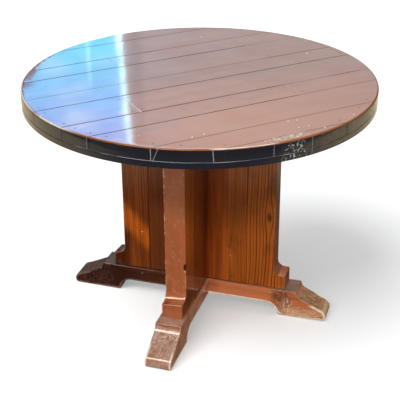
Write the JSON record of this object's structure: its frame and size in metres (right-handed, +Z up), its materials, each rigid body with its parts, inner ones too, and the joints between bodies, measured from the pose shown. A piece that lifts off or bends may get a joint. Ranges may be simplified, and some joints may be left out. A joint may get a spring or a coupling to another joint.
{
  "type": "round pedestal dining table",
  "caption": "Round plank-topped dining table with a dark varnished top, black rim, cross-shaped board pedestal and moulded cross base.",
  "frame": {"origin": "on the floor at the centre of the cross base, below the middle of the round top", "axes": "+X along the right foot, -Y along the front foot, +Z up"},
  "size_m": [1.066, 1.066, 0.766],
  "materials": {
    "top_wood": "dark red-brown gloss varnish, worn, with the rim painted black",
    "rim_wood": "gloss black paint, chipped",
    "upright_wood": "amber-brown varnished fir with straight dark grain",
    "base_wood": "red-brown varnish, scuffed at the feet",
    "bearer_wood": "sawn, stained",
    "tongue_wood": "bare",
    "fastener_steel": "dull zinc"
  },
  "bodies": {
    "root": {"top_board_1": "top_wood", "top_board_2": "top_wood", "top_board_3": "top_wood", "top_board_4": "top_wood", "top_board_5": "top_wood", "top_board_6": "top_wood", "top_board_7": "top_wood", "top_board_8": "top_wood", "top_board_9": "top_wood", "top_board_10": "top_wood", "top_board_11": "top_wood", "top_board_12": "top_wood", "top_board_13": "top_wood", "top_board_14": "top_wood", "ring_block_1": "rim_wood", "ring_block_2": "rim_wood", "ring_block_3": "rim_wood", "ring_block_4": "rim_wood", "ring_block_5": "rim_wood", "ring_block_6": "rim_wood", "ring_block_7": "rim_wood", "ring_block_8": "rim_wood", "inner_upright_1": "upright_wood", "inner_upright_2": "upright_wood", "inner_upright_3": "upright_wood", "inner_upright_4": "upright_wood", "outer_upright_1": "upright_wood", "outer_upright_2": "upright_wood", "outer_upright_3": "upright_wood", "outer_upright_4": "upright_wood", "base_beam_side_to_side": "base_wood", "base_beam_front_to_back": "base_wood", "bearer_side_to_side": "bearer_wood", "bearer_front_to_back": "bearer_wood", "seam_splines": "tongue_wood", "end_splines": "tongue_wood", "upright_dowels": "tongue_wood", "ring_nails": "fastener_steel", "end_joint_nails": "fastener_steel", "ring_screws": "fastener_steel", "bearer_screws": "fastener_steel", "bearer_lag_bolts": "fastener_steel", "bearer_washers": "fastener_steel", "base_lag_bolts": "fastener_steel", "base_washers": "fastener_steel"}
  },
  "joints": []
}
